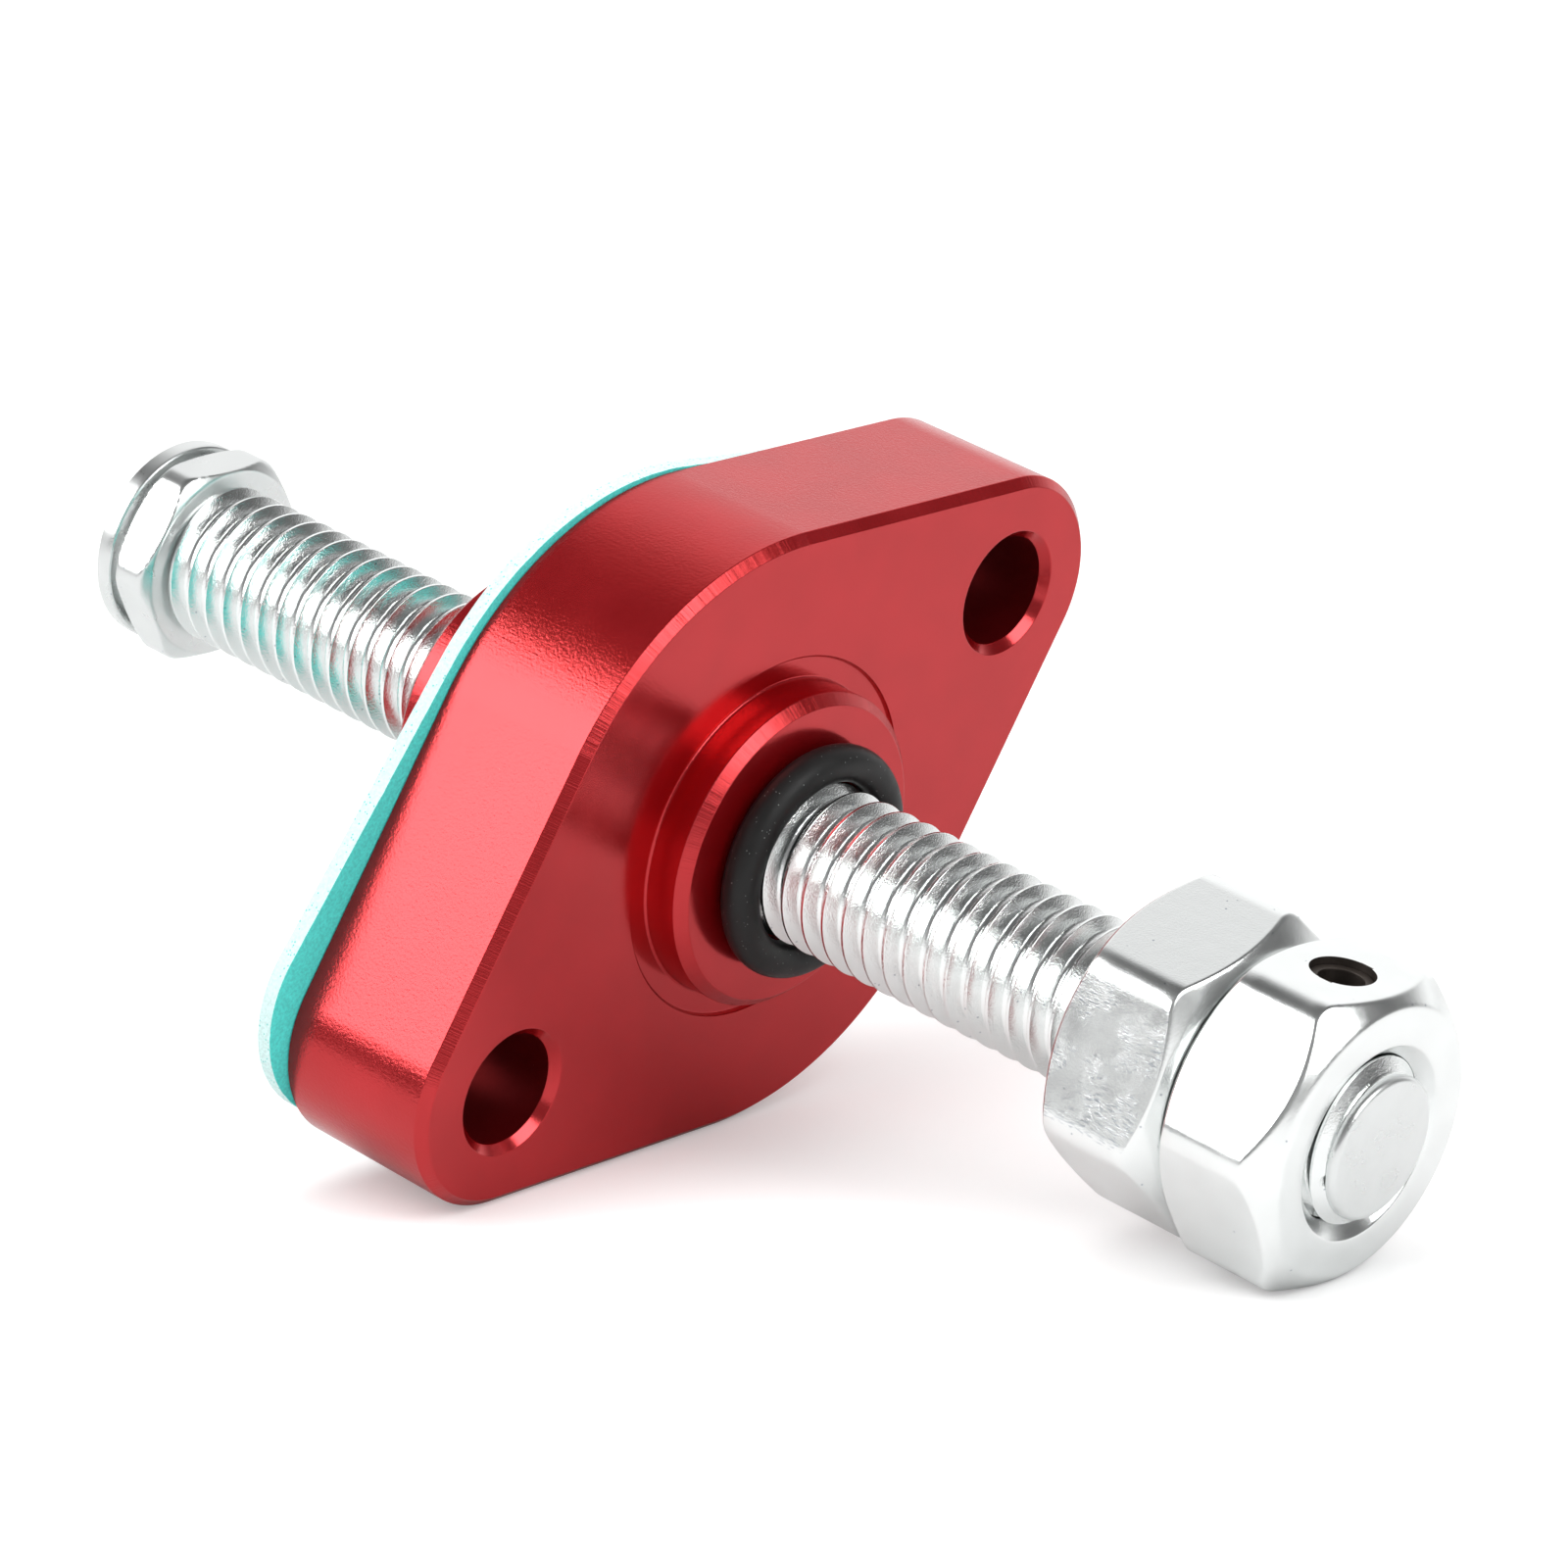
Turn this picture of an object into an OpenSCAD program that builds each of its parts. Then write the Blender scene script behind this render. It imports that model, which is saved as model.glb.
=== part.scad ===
/* [Thread] */
// Outside diameter of the threaded bolt over its crests
thread_d = 7.9; // [6:0.05:12]
// Distance from one turn of the thread to the next
thread_pitch = 1.25; // [1:0.05:2]
// Radial depth of the thread
thread_depth = 0.65; // [0.3:0.05:0.8]
// Width of the flat left on each crest
thread_crest = 0.3; // [0.15:0.05:0.4]
// Radial clearance between the bolt and every bore that it runs in
thread_gap = 0.05; // [0.02:0.01:0.08]

/* [Flange] */
// Distance between the two fixing holes
hole_spacing = 35.7; // [32:0.1:60]
// Radius of the rounded ends of the flange
end_r = 5.8; // [4.6:0.1:8]
// Radius of the wide middle of the flange
middle_r = 15.25; // [12:0.05:17]
// Thickness of the flange
flange_t = 8.7; // [4:0.1:16]
// Width of the bevel along the front edge of the flange
flange_bevel = 0.45; // [0.2:0.05:1.5]
// Diameter of the fixing holes
hole_d = 5.5; // [4:0.1:6.5]
// Width of the bevel at the front mouth of the fixing holes
hole_bevel = 0.42; // [0.1:0.02:0.8]

/* [Front boss] */
// Diameter of the boss that the sealing ring lies on
boss_d = 15.7; // [14:0.1:20]
// Height of the boss above the flange
boss_h = 2.05; // [1.2:0.05:6]
// Width of the bevel round the boss
boss_bevel = 0.5; // [0.2:0.05:0.8]
// Width of the shallow relief ring round the foot of the boss
relief_w = 1.2; // [0.4:0.1:2]
// Depth of the relief ring
relief_depth = 0.2; // [0.1:0.05:0.6]

/* [Spigot] */
// Diameter of the spigot that enters the engine
spigot_d = 14.8; // [13:0.1:20]
// Length of the spigot behind the flange
spigot_l = 8.65; // [4:0.05:16]
// Width of the bevel at the end of the spigot
spigot_bevel = 0.5; // [0.2:0.05:1.2]
// Width of the bevel at both mouths of the threaded bore
bore_bevel = 0.45; // [0.1:0.05:0.6]

/* [Gasket] */
// Thickness of the gasket
gasket_t = 0.8; // [0.4:0.1:2]
// How far the gasket reaches past the flange outline
gasket_lip = 0.1; // [0:0.05:1]
// Clearance between the gasket and the spigot
gasket_clearance = 1.4; // [0.6:0.05:2]
// Angle by which the loose gasket lies turned on the spigot
gasket_turn = 5; // [0:0.5:8]
// How far the loose gasket has slipped towards one end of the flange
gasket_slip_end = 0.4; // [0:0.05:0.8]
// How far it has slipped to one side
gasket_slip_side = 0.3; // [0:0.05:0.8]
// How much wider the gasket holes are than the fixing holes
gasket_hole_extra = 0.6; // [0:0.1:1.2]

/* [Sealing ring] */
// Thickness of the rubber ring
ring_t = 1.8; // [1.2:0.1:2.6]

/* [Bolt] */
// Distance from the flange's back face to the outer end of the bolt
bolt_reach = 45.5; // [40:0.5:90]
// Distance from the flange's back face to the shoulder of the bolt's head
head_depth = 28.2; // [16:0.1:60]
// How far the land at the bolt's tip lies below the crests
tip_drop = 0.55; // [0.3:0.05:0.6]
// Length of that land
tip_land = 0.45; // [0.2:0.05:1]

/* [Bolt head] */
// Width across the flats of the small hexagon
head_flats = 9.8; // [9:0.1:14]
// Diameter over the rounded corners of the hexagon
head_corner_d = 10.9; // [10:0.1:16]
// Length of the hexagon
head_hex_l = 2.4; // [1:0.1:6]
// Diameter of the neck between the hexagon and the cap
head_neck_d = 9.2; // [7:0.1:13]
// Length of the neck
head_neck_l = 0.35; // [0.2:0.05:1]
// Diameter of the domed cap
cap_d = 10.3; // [8:0.1:15]
// Length of the straight rim of the cap
cap_rim_l = 0.9; // [0.3:0.1:1.5]
// Rise of the dome
dome_rise = 1.7; // [0.6:0.1:2.6]

/* [Nuts] */
// Width across the flats of both nuts
nut_flats = 13.9; // [12:0.1:19]
// Diameter over the rounded corners of both nuts
nut_corner_d = 15.75; // [13.8:0.05:21]
// Length of both nuts
nut_l = 6.5; // [5:0.5:10]
// Diameter of the flat ring on the nut faces, where the corner bevel starts
nut_face_d = 12.8; // [11:0.1:13.4]
// Slope of the corner bevel on the lock nut and on the end nut's inner face
nut_bevel_angle = 34; // [20:1:45]
// Slope of the steeper corner bevel on the end nut's outer face
end_bevel_angle = 42; // [20:1:50]
// Width of the bevel at the mouths of the nut bores
nut_mouth = 0.5; // [0.2:0.05:0.8]
// How far the outer end of the bolt stands out of the end nut
bolt_stand_out = 0.7; // [0.2:0.05:3]
// Gap between the backed off lock nut and the end nut
nut_gap = 0.1; // [0.05:0.05:4]
// Angle of the end nut's drilled flat from the flange's long axis
end_nut_angle = 57; // [0:1:90]
// Angle of the lock nut from the flange's long axis
lock_nut_angle = 75.5; // [0:0.5:90]

/* [Spring pin] */
// Diameter of the rolled spring pin
pin_d = 3; // [2:0.1:4]
// Wall of the spring pin
pin_wall = 0.45; // [0.3:0.05:0.8]
// Slit along the spring pin
pin_slit = 0.5; // [0.3:0.1:1]
// How deep the spring pin's ends lie below the flats
pin_depth = 0.35; // [0.1:0.05:1]
// Seat clearance round the spring pin
pin_gap = 0.02; // [0.01:0.01:0.05]

/* [Hidden] */
$fn = 96;
// How far every cut runs past the surface that it opens
over = 0.5;
// Small gap between faces that slide past each other
face_gap = 0.05;
// How far the milled straight sides lie below the arcs that they run into
side_step = 0.005;
red_anodised = [0.70, 0.12, 0.15];
teal_fibre = [0.25, 0.82, 0.74];
black_rubber = [0.10, 0.11, 0.11];
zinc = [0.80, 0.82, 0.82];
// Angle between the two flanks of the thread
thread_angle = 60;
thread_r = thread_d / 2;
thread_root_r = thread_r - thread_depth;
// Half the width of a groove at its root and at its mouth
groove_mouth = (thread_pitch - thread_crest) / 2;
groove_root = groove_mouth - thread_depth * tan(thread_angle / 2);
bore_r = thread_r + thread_gap;
// Angle of the outline's straight sides: the normal that touches both the end arc and the middle arc
side_angle = acos((middle_r - end_r) / (hole_spacing / 2));
boss_top = flange_t + boss_h;
ring_r = bore_r + ring_t / 2;
nut_corner_r = nut_corner_d / 2;
nut_face_r = nut_face_d / 2;
end_nut_x = bolt_reach - bolt_stand_out - nut_l;
lock_nut_x = end_nut_x - nut_gap - nut_l;
cross_hole_r = pin_d / 2 + pin_gap;
// Where the cap starts, counted from the head's shoulder
cap_start = head_hex_l + head_neck_l;
dome_r = (pow(cap_d / 2, 2) + pow(dome_rise, 2)) / (2 * dome_rise);

// The pieces are drawn upright and then laid along the bolt's axis, which is X.
// A turn about the upright axis becomes the same turn about X, counted from Z.
module along_bolt(x = 0, turn = 0) {
    translate([x, 0, 0]) rotate([0, 90, 0]) rotate([0, 0, turn]) children();
}

// Corners of the web between the arcs, where its straight sides run into them
function end_touch(r, sx, sy) = [sx * (hole_spacing / 2 + r * cos(side_angle)), sy * r * sin(side_angle)];
function middle_touch(r, sx, sy) = [sx * r * cos(side_angle), sy * r * sin(side_angle)];
function web_outline(end, middle) = [
    end_touch(end, 1, 1), middle_touch(middle, 1, 1), middle_touch(middle, -1, 1), end_touch(end, -1, 1),
    end_touch(end, -1, -1), middle_touch(middle, -1, -1), middle_touch(middle, 1, -1), end_touch(end, 1, -1)
];

// Rounded diamond: two end arcs and a wide middle arc joined by straight sides
module diamond(h, lip = 0) {
    linear_extrude(h) polygon(web_outline(end_r + lip - side_step, middle_r + lip - side_step));
    cylinder(h = h, r = middle_r + lip);
    for (side = [-1, 1])
        translate([side * hole_spacing / 2, 0, 0]) cylinder(h = h, r = end_r + lip);
}

// Top layer of the diamond, drawn in by the bevel all round
module diamond_bevel(bevel) {
    foot = web_outline(end_r - side_step, middle_r - side_step);
    top = web_outline(end_r - side_step - bevel, middle_r - side_step - bevel);
    n = len(foot);
    polyhedron(
        points = concat([for (p = foot) [p[0], p[1], 0]], [for (p = top) [p[0], p[1], bevel]]),
        faces = concat(
            [[for (i = [0 : n - 1]) i]],
            [[for (i = [n - 1 : -1 : 0]) n + i]],
            [for (i = [0 : n - 1]) [(i + 1) % n, i, n + i, n + (i + 1) % n]]
        )
    );
    cylinder(h = bevel, r1 = middle_r, r2 = middle_r - bevel);
    for (side = [-1, 1])
        translate([side * hole_spacing / 2, 0, 0]) cylinder(h = bevel, r1 = end_r, r2 = end_r - bevel);
}

// Bore with a bevel at each mouth, as a cutter standing on z = 0
module bevelled_bore(l, r, bevel) {
    translate([0, 0, -over]) cylinder(h = l + 2 * over, r = r);
    translate([0, 0, -over]) cylinder(h = bevel + over, r1 = r + bevel + over, r2 = r);
    translate([0, 0, l - bevel]) cylinder(h = bevel + over, r1 = r, r2 = r + bevel + over);
}

// Turned disc with a bevel round its top edge
module bevelled_disc(h, r, bevel) {
    cylinder(h = h - bevel, r = r);
    translate([0, 0, h - bevel]) cylinder(h = bevel, r1 = r, r2 = r - bevel);
}

module housing() {
    color(red_anodised) along_bolt() difference() {
        union() {
            difference() {
                union() {
                    diamond(flange_t - flange_bevel);
                    translate([0, 0, flange_t - flange_bevel]) diamond_bevel(flange_bevel);
                }
                translate([0, 0, flange_t - relief_depth])
                    cylinder(h = relief_depth + over, r = boss_d / 2 + relief_w);
            }
            translate([0, 0, flange_t - relief_depth])
                bevelled_disc(boss_h + relief_depth, boss_d / 2, boss_bevel);
            rotate([180, 0, 0]) bevelled_disc(spigot_l, spigot_d / 2, spigot_bevel);
        }
        translate([0, 0, -spigot_l]) bevelled_bore(spigot_l + boss_top, bore_r, bore_bevel);
        for (side = [-1, 1]) translate([side * hole_spacing / 2, 0, 0]) {
            translate([0, 0, -over]) cylinder(h = flange_t + 2 * over, d = hole_d);
            translate([0, 0, flange_t - hole_bevel])
                cylinder(h = hole_bevel + over, r1 = hole_d / 2, r2 = hole_d / 2 + hole_bevel + over);
        }
    }
}

module gasket() {
    color(teal_fibre) translate([0, -gasket_slip_side, -gasket_slip_end])
    along_bolt(-face_gap - gasket_t, -gasket_turn) difference() {
        diamond(gasket_t, gasket_lip);
        translate([0, 0, -over]) cylinder(h = gasket_t + 2 * over, r = spigot_d / 2 + gasket_clearance);
        for (side = [-1, 1])
            translate([side * hole_spacing / 2, 0, -over])
                cylinder(h = gasket_t + 2 * over, r = (hole_d + gasket_hole_extra) / 2);
    }
}

module o_ring() {
    color(black_rubber) along_bolt(boss_top + face_gap + ring_t / 2)
        rotate_extrude() translate([ring_r, 0]) circle(d = ring_t);
}

// Small hexagon with its corners turned round
module head_hexagon() {
    intersection() {
        rotate([0, 0, 30]) cylinder(h = head_hex_l, r = head_flats / 2 / cos(30), $fn = 6);
        cylinder(h = head_hex_l, d = head_corner_d);
    }
}

// Low domed cap that pushes on the chain guide
module head_cap() {
    intersection() {
        cylinder(h = cap_rim_l + dome_rise, d = cap_d);
        translate([0, 0, cap_rim_l + dome_rise - dome_r]) sphere(r = dome_r);
    }
}

// Threaded rod standing on z = 0, with its turns drawn as grooves of the true pitch and section
module threaded_rod(h) {
    tip_r = thread_r - tip_drop;
    top = h - tip_land - (thread_depth - tip_drop) * tan(thread_angle / 2) - groove_root;
    turns = floor((top - groove_mouth) / thread_pitch);
    rotate_extrude() polygon(concat(
        [[0, 0], [thread_r, 0]],
        [for (i = [turns : -1 : 1]) let (z = top - i * thread_pitch) each [
            [thread_r, z - groove_mouth], [thread_root_r, z - groove_root],
            [thread_root_r, z + groove_root], [thread_r, z + groove_mouth]
        ]],
        [[thread_r, top - groove_mouth], [thread_root_r, top - groove_root], [thread_root_r, top + groove_root]],
        [[tip_r, h - tip_land], [tip_r, h], [0, h]]
    ));
}

module tensioner_bolt() {
    color(zinc) difference() {
        union() {
            along_bolt(-head_depth) threaded_rod(head_depth + bolt_reach);
            along_bolt(-head_depth) rotate([180, 0, 0]) {
                head_hexagon();
                cylinder(h = cap_start + cap_rim_l / 2, d = head_neck_d);
                translate([0, 0, cap_start]) head_cap();
            }
        }
        along_bolt(end_nut_x + nut_l / 2, end_nut_angle) rotate([0, 90, 0])
            cylinder(h = thread_d + 2 * over, r = cross_hole_r, center = true);
    }
}

// Hexagon nut with rounded corners, bevelled at both faces, standing on z = 0
module hex_nut(outer_angle) {
    inner_h = (nut_corner_r - nut_face_r) * tan(nut_bevel_angle);
    outer_h = (nut_corner_r - nut_face_r) * tan(outer_angle);
    difference() {
        intersection() {
            rotate([0, 0, 30]) cylinder(h = nut_l, r = nut_flats / 2 / cos(30), $fn = 6);
            rotate_extrude() polygon([
                [0, 0], [nut_face_r, 0], [nut_corner_r, inner_h],
                [nut_corner_r, nut_l - outer_h], [nut_face_r, nut_l], [0, nut_l]
            ]);
        }
        bevelled_bore(nut_l, bore_r, nut_mouth);
    }
}

module lock_nut() {
    color(zinc) along_bolt(lock_nut_x, lock_nut_angle) hex_nut(nut_bevel_angle);
}

module end_nut() {
    color(zinc) along_bolt(end_nut_x, end_nut_angle) difference() {
        hex_nut(end_bevel_angle);
        translate([0, 0, nut_l / 2]) rotate([0, 90, 0])
            cylinder(h = nut_flats + 2 * over, r = cross_hole_r, center = true);
    }
}

module spring_pin() {
    pin_l = nut_flats - 2 * pin_depth;
    color(zinc) along_bolt(end_nut_x + nut_l / 2, end_nut_angle) rotate([0, 90, 0]) difference() {
        cylinder(h = pin_l, d = pin_d, center = true);
        cylinder(h = pin_l + 2 * over, r = pin_d / 2 - pin_wall, center = true);
        translate([pin_d / 2, 0, 0]) cube([pin_d, pin_slit, pin_l + 2 * over], center = true);
    }
}

housing();
gasket();
o_ring();
tensioner_bolt();
lock_nut();
end_nut();
spring_pin();
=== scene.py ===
import math

import bmesh
import bpy
from mathutils import Matrix, Vector, noise


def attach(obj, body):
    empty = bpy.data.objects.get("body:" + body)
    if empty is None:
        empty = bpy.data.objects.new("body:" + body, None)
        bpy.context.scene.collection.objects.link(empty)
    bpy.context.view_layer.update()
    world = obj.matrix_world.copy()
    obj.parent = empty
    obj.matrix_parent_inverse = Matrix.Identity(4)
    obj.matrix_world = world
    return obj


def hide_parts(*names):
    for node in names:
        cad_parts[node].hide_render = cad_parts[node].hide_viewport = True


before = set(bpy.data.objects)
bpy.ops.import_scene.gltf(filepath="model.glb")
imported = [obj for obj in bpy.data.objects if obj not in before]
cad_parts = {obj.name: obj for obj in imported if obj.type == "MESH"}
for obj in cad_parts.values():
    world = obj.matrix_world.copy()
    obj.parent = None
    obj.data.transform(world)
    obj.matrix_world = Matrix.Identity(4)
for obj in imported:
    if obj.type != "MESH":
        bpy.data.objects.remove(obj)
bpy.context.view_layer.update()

# Pieces are modelled in millimetres, with the bolt's axis along X, and scaled to metres at the end


def startFresh():
    if bpy.context.mode != "OBJECT":
        bpy.ops.object.mode_set(mode="OBJECT")
    bpy.ops.object.select_all(action="DESELECT")


def takeUp(piece):
    startFresh()
    piece.select_set(True)
    bpy.context.view_layer.objects.active = piece


def pick(piece, test, kind="VERT"):
    # In edit mode, selects what passes the test, by its place or its normal
    bpy.ops.mesh.select_mode(type=kind)
    bpy.ops.mesh.select_all(action="DESELECT")
    shape = bmesh.from_edit_mesh(piece.data)
    parts = {"VERT": shape.verts, "EDGE": shape.edges, "FACE": shape.faces}[kind]
    for part in parts:
        if test(part):
            part.select_set(True)
    shape.select_flush_mode()
    bmesh.update_edit_mesh(piece.data)


def useModifier(piece, kind, **values):
    takeUp(piece)
    bpy.ops.object.modifier_add(type=kind)
    modifier = piece.modifiers[-1]
    for name, value in values.items():
        setattr(modifier, name, value)
    bpy.ops.object.modifier_apply(modifier=modifier.name)


def tidyShell(piece, gap=0.0005):
    takeUp(piece)
    bpy.ops.object.mode_set(mode="EDIT")
    bpy.ops.mesh.select_all(action="SELECT")
    bpy.ops.mesh.remove_doubles(threshold=gap)
    bpy.ops.mesh.normals_make_consistent(inside=False)
    bpy.ops.object.mode_set(mode="OBJECT")


def drawProfile(name, points):
    # A line of points (x, r) in the half plane above the axis, drawn by extruding one vertex
    startFresh()
    bpy.ops.mesh.primitive_plane_add(size=1, location=(0, 0, 0))
    profile = bpy.context.object
    profile.name = name
    bpy.ops.object.mode_set(mode="EDIT")
    corner = Vector((0.5, 0.5, 0))
    pick(profile, lambda v: (v.co - corner).length > 0.1)
    bpy.ops.mesh.delete(type="VERT")
    bpy.ops.mesh.select_all(action="SELECT")
    place = corner
    for number, (x, r) in enumerate(points):
        goal = Vector((x, 0, r))
        if number == 0:
            bpy.ops.transform.translate(value=goal - place)
        else:
            bpy.ops.mesh.extrude_vertices_move(TRANSFORM_OT_translate={"value": goal - place})
        place = goal
    bpy.ops.object.mode_set(mode="OBJECT")
    return profile


def turnRound(name, points, sides):
    # A turned piece: the profile goes once round the bolt's axis
    piece = drawProfile(name, points)
    useModifier(piece, "SCREW", axis="X", angle=math.tau, screw_offset=0, iterations=1, steps=sides,
                render_steps=sides, use_merge_vertices=True, merge_threshold=0.0005)
    tidyShell(piece)
    return piece


def combine(piece, tool, operation):
    useModifier(piece, "BOOLEAN", operation=operation, solver="EXACT", object=tool)
    bpy.data.objects.remove(tool)


def softenEdges(piece, width, segments=2, angle=24):
    useModifier(piece, "BEVEL", width=width, segments=segments, limit_method="ANGLE",
                angle_limit=math.radians(angle), miter_outer="MITER_ARC", use_clamp_overlap=True)


def smoothPiece(piece, angle=40, weighted=True):
    takeUp(piece)
    bpy.ops.object.shade_smooth_by_angle(angle=math.radians(angle))
    if weighted:
        useModifier(piece, "WEIGHTED_NORMAL", weight=80, keep_sharp=True)


def moveRound(piece, turn):
    # Turns the piece about the bolt's axis by an angle counted from Z
    piece.data.transform(Matrix.Rotation(math.radians(turn), 4, "X"))


def softLeast(first, second, blend):
    # The smaller of two lengths, with a smooth passage where they come close
    return min(first, second) - max(blend - abs(first - second), 0) ** 2 / (4 * blend)


def finishPiece(piece, body, materials, nodes=()):
    piece.data.transform(Matrix.Scale(0.001, 4))
    piece.matrix_world = Matrix.Identity(4)
    for material in materials:
        piece.data.materials.append(material)
    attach(piece, body)
    if nodes:
        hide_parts(*nodes)


# Shared effects, which count in millimetres of the piece's own space


def newGroup(name, inputs, outputs):
    group = bpy.data.node_groups.new(name, "ShaderNodeTree")
    for label, kind, value in inputs:
        socket = group.interface.new_socket(name=label, in_out="INPUT", socket_type=kind)
        socket.default_value = value
    for label, kind in outputs:
        group.interface.new_socket(name=label, in_out="OUTPUT", socket_type=kind)
    return group, group.nodes.new("NodeGroupInput"), group.nodes.new("NodeGroupOutput")


def addNode(tree, kind, **values):
    node = tree.nodes.new(kind)
    for name, value in values.items():
        setattr(node, name, value)
    return node


def math2(tree, operation, first, second=None, third=None):
    node = addNode(tree, "ShaderNodeMath", operation=operation)
    for socket, value in zip(node.inputs, (first, second, third)):
        if value is None:
            continue
        if isinstance(value, (int, float)):
            socket.default_value = value
        else:
            tree.links.new(value, socket)
    return node.outputs[0]


def millimetres(tree):
    place = addNode(tree, "ShaderNodeTexCoord")
    scaled = addNode(tree, "ShaderNodeVectorMath", operation="SCALE")
    scaled.inputs["Scale"].default_value = 1000
    tree.links.new(place.outputs["Object"], scaled.inputs[0])
    return scaled.outputs[0]


def mapRange(tree, value, low, high, newLow, newHigh):
    node = addNode(tree, "ShaderNodeMapRange")
    tree.links.new(value, node.inputs["Value"])
    for name, number in (("From Min", low), ("From Max", high), ("To Min", newLow), ("To Max", newHigh)):
        node.inputs[name].default_value = number
    return node.outputs[0]


def buildGrain():
    # Fine blasted or plated grain: a height for the bump and a tone for the roughness
    group, given, result = newGroup(
        "surfaceGrain",
        [("Per mm", "NodeSocketFloat", 12.0), ("Cloud per mm", "NodeSocketFloat", 0.6)],
        [("Height", "NodeSocketFloat"), ("Cloud", "NodeSocketFloat")])
    place = millimetres(group)
    fine = addNode(group, "ShaderNodeTexNoise")
    fine.inputs["Detail"].default_value = 3
    fine.inputs["Roughness"].default_value = 0.6
    cloud = addNode(group, "ShaderNodeTexNoise")
    cloud.inputs["Detail"].default_value = 4
    group.links.new(place, fine.inputs["Vector"])
    group.links.new(place, cloud.inputs["Vector"])
    group.links.new(given.outputs["Per mm"], fine.inputs["Scale"])
    group.links.new(given.outputs["Cloud per mm"], cloud.inputs["Scale"])
    group.links.new(fine.outputs[0], result.inputs["Height"])
    group.links.new(cloud.outputs[0], result.inputs["Cloud"])
    return group


def buildDust():
    # Sparse bright specks
    group, given, result = newGroup(
        "dustSpecks",
        [("Per mm", "NodeSocketFloat", 3.0), ("Size", "NodeSocketFloat", 0.12),
         ("Share", "NodeSocketFloat", 0.2)],
        [("Mask", "NodeSocketFloat")])
    place = millimetres(group)
    cells = addNode(group, "ShaderNodeTexVoronoi", feature="F1")
    group.links.new(place, cells.inputs["Vector"])
    group.links.new(given.outputs["Per mm"], cells.inputs["Scale"])
    speck = math2(group, "LESS_THAN", cells.outputs["Distance"], given.outputs["Size"])
    parts = addNode(group, "ShaderNodeSeparateColor")
    group.links.new(cells.outputs["Color"], parts.inputs[0])
    chosen = math2(group, "LESS_THAN", parts.outputs[0], given.outputs["Share"])
    group.links.new(math2(group, "MULTIPLY", speck, chosen), result.inputs["Mask"])
    return group


def buildRidges():
    # Chatter marks of the cutter, running out from a centre on the Z axis
    group, given, result = newGroup(
        "toolRidges",
        [("Centre Z", "NodeSocketFloat", 0.0), ("Round", "NodeSocketFloat", 100.0)],
        [("Height", "NodeSocketFloat")])
    place = millimetres(group)
    parts = addNode(group, "ShaderNodeSeparateXYZ")
    group.links.new(place, parts.inputs[0])
    away = addNode(group, "ShaderNodeCombineXYZ")
    group.links.new(parts.outputs[1], away.inputs[1])
    side = math2(group, "SIGN", parts.outputs[2])
    centre = math2(group, "MULTIPLY", side, given.outputs["Centre Z"])
    group.links.new(math2(group, "SUBTRACT", parts.outputs[2], centre), away.inputs[2])
    unit = addNode(group, "ShaderNodeVectorMath", operation="NORMALIZE")
    group.links.new(away.outputs[0], unit.inputs[0])
    marks = addNode(group, "ShaderNodeTexNoise")
    marks.inputs["Detail"].default_value = 1
    group.links.new(unit.outputs[0], marks.inputs["Vector"])
    group.links.new(given.outputs["Round"], marks.inputs["Scale"])
    group.links.new(marks.outputs[0], result.inputs["Height"])
    return group


def buildScuffs():
    # Short fine scratches that lie in patches
    group, given, result = newGroup(
        "scuffPatches",
        [("Per mm", "NodeSocketFloat", 5.0), ("Patch per mm", "NodeSocketFloat", 0.35)],
        [("Height", "NodeSocketFloat"), ("Mask", "NodeSocketFloat")])
    stretch = addNode(group, "ShaderNodeMapping")
    stretch.inputs["Rotation"].default_value = (0.6, 0.5, 0.4)
    stretch.inputs["Scale"].default_value = (0.2, 1.0, 1.4)
    place = millimetres(group)
    group.links.new(place, stretch.inputs["Vector"])
    lines = addNode(group, "ShaderNodeTexNoise")
    lines.inputs["Detail"].default_value = 3
    group.links.new(stretch.outputs[0], lines.inputs["Vector"])
    group.links.new(given.outputs["Per mm"], lines.inputs["Scale"])
    patches = addNode(group, "ShaderNodeTexNoise")
    patches.inputs["Detail"].default_value = 2
    group.links.new(place, patches.inputs["Vector"])
    group.links.new(given.outputs["Patch per mm"], patches.inputs["Scale"])
    patch = mapRange(group, patches.outputs[0], 0.42, 0.56, 0.0, 1.0)
    scratch = mapRange(group, lines.outputs[0], 0.54, 0.62, 0.0, 1.0)
    group.links.new(math2(group, "MULTIPLY", scratch, patch), result.inputs["Mask"])
    group.links.new(math2(group, "MULTIPLY", lines.outputs[0], patch), result.inputs["Height"])
    return group


def buildSideRidges():
    # The same marks along the four straight sides, counted along each side
    group, given, result = newGroup(
        "sideRidges", [("Per mm", "NodeSocketFloat", 5.0)], [("Height", "NodeSocketFloat")])
    parts = addNode(group, "ShaderNodeSeparateXYZ")
    group.links.new(millimetres(group), parts.inputs[0])
    # How much of a straight side's direction lies along Z, and how much along Y
    alongZ, alongY = 0.848, 0.529
    across = math2(group, "MULTIPLY", math2(group, "ABSOLUTE", parts.outputs[1]), -alongY)
    along = math2(group, "MULTIPLY_ADD", math2(group, "ABSOLUTE", parts.outputs[2]), alongZ, across)
    marks = addNode(group, "ShaderNodeTexNoise", noise_dimensions="1D")
    marks.inputs["Detail"].default_value = 1
    group.links.new(along, marks.inputs["W"])
    group.links.new(given.outputs["Per mm"], marks.inputs["Scale"])
    group.links.new(marks.outputs[0], result.inputs["Height"])
    return group


grainGroup = buildGrain()
dustGroup = buildDust()
ridgeGroup = buildRidges()
sideRidgeGroup = buildSideRidges()
scuffGroup = buildScuffs()


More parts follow.
